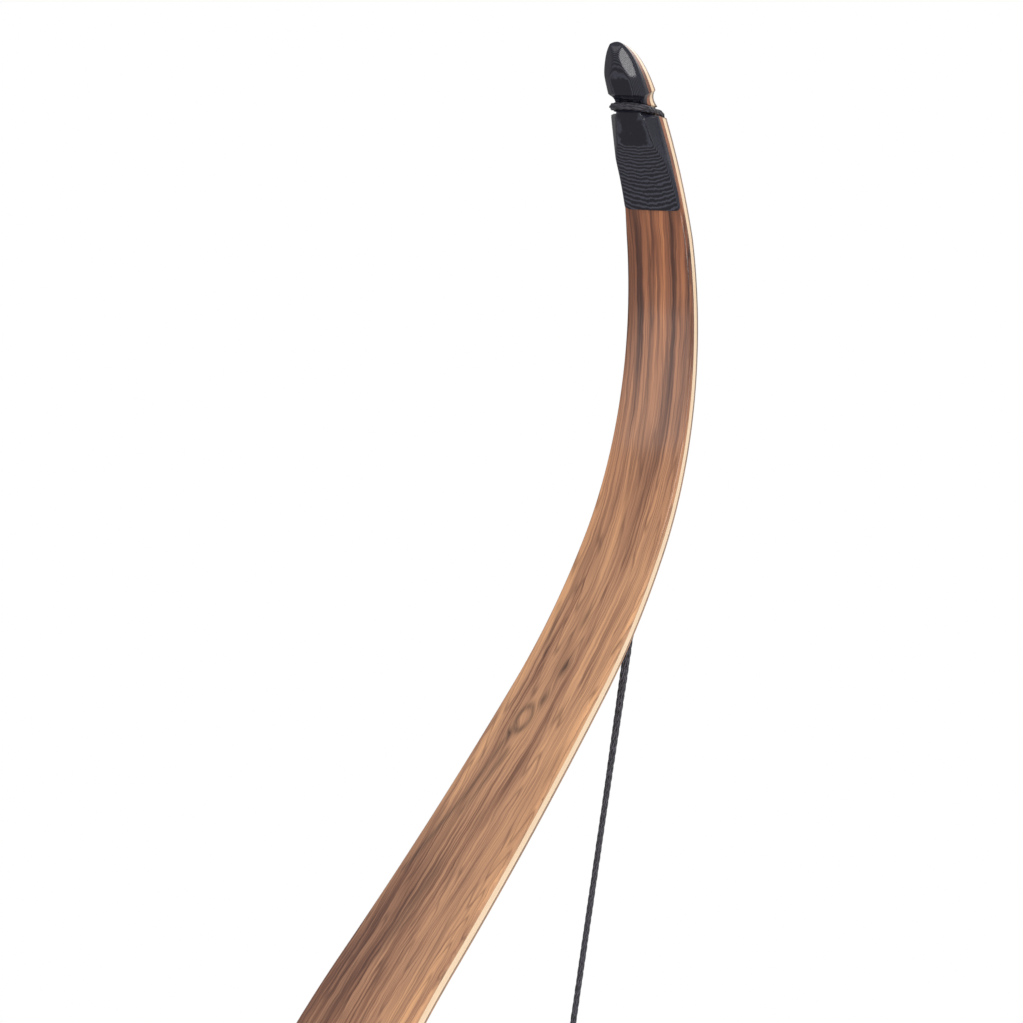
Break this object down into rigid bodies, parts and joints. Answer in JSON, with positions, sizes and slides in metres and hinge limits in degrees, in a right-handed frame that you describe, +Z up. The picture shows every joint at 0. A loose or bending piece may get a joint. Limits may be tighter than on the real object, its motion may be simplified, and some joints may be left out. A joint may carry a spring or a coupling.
{
  "type": "recurve bow",
  "caption": "Strung take-down wooden recurve bow: laminated riser with grip and arrow shelf, laminated curved limbs with dark tip overlays, bolted on, and a twisted string.",
  "frame": {"origin": "the throat of the grip on its belly face, midway across the bow and level with the middle of its length", "axes": "+Z up along the string to the upper limb's tip, +Y towards the target, +X to the archer's right"},
  "size_m": [0.047, 0.2404, 1.3784],
  "materials": {
    "riser_wood": "satin lacquer",
    "stripe_maple": "satin lacquer",
    "black_laminate": "satin, layered",
    "clear_glass_laminate": "clear gloss",
    "back_veneer": "under clear laminate",
    "belly_veneer": "under clear laminate",
    "core_maple": "lacquered edge",
    "wedge_maple": "lacquered edge",
    "rug": "short pile",
    "side_leather": "matt",
    "brass": "turned",
    "pin_steel": "ground",
    "string_fibre": "waxed twist",
    "serving_thread": "wound",
    "nock_brass": "crimped",
    "washer_steel": "plated",
    "bolt_steel": "black oxide"
  },
  "bodies": {
    "bow": {"riser_belly_block": "riser_wood", "riser_back_block": "riser_wood", "riser_rear_stripe": "stripe_maple", "riser_front_stripe": "stripe_maple", "riser_core": "black_laminate", "upper_pad_facing": "black_laminate", "lower_pad_facing": "black_laminate", "shelf_rug": "rug", "side_plate": "side_leather", "plunger_bushing": "brass", "stabilizer_bushing": "brass", "upper_bolt_insert": "brass", "lower_bolt_insert": "brass", "upper_locating_pin": "pin_steel", "lower_locating_pin": "pin_steel", "bowstring": "string_fibre", "centre_serving": "serving_thread", "nocking_point": "nock_brass", "upper_back_glass": "clear_glass_laminate", "upper_back_veneer": "back_veneer", "upper_back_core": "core_maple", "upper_butt_wedge": "wedge_maple", "upper_belly_core": "core_maple", "upper_belly_veneer": "belly_veneer", "upper_belly_glass": "clear_glass_laminate", "upper_butt_overlay": "black_laminate", "upper_tip_overlay": "black_laminate", "lower_back_glass": "clear_glass_laminate", "lower_back_veneer": "back_veneer", "lower_back_core": "core_maple", "lower_butt_wedge": "wedge_maple", "lower_belly_core": "core_maple", "lower_belly_veneer": "belly_veneer", "lower_belly_glass": "clear_glass_laminate", "lower_butt_overlay": "black_laminate", "lower_tip_overlay": "black_laminate"},
    "upper_washer": {"upper_bolt_washer": "washer_steel"},
    "upper_bolt": {"upper_limb_bolt": "bolt_steel"},
    "lower_washer": {"lower_bolt_washer": "washer_steel"},
    "lower_bolt": {"lower_limb_bolt": "bolt_steel"}
  },
  "joints": [
    {"name": "upper_washer_slide", "type": "slide", "parent": "bow", "child": "upper_washer", "axis": [0, 0.9397, 0.342], "range_m": [0, 0.0195]},
    {"name": "upper_bolt_turn", "type": "hinge", "parent": "upper_washer", "child": "upper_bolt", "pos_m": [0, 0.03166, 0.17972], "axis": [0, 0.9397, 0.342], "range_deg": [0, 5040]},
    {"name": "lower_washer_slide", "type": "slide", "parent": "bow", "child": "lower_washer", "axis": [0, 0.9397, -0.342], "range_m": [0, 0.0195]},
    {"name": "lower_bolt_turn", "type": "hinge", "parent": "lower_washer", "child": "lower_bolt", "pos_m": [0, 0.03166, -0.17972], "axis": [0, 0.9397, -0.342], "range_deg": [0, 5040]}
  ],
  "couplings": [
    {"joint": "upper_bolt_turn", "follows": "upper_washer_slide", "rad_per_m": 4452.7},
    {"joint": "lower_bolt_turn", "follows": "lower_washer_slide", "rad_per_m": 4452.7}
  ]
}
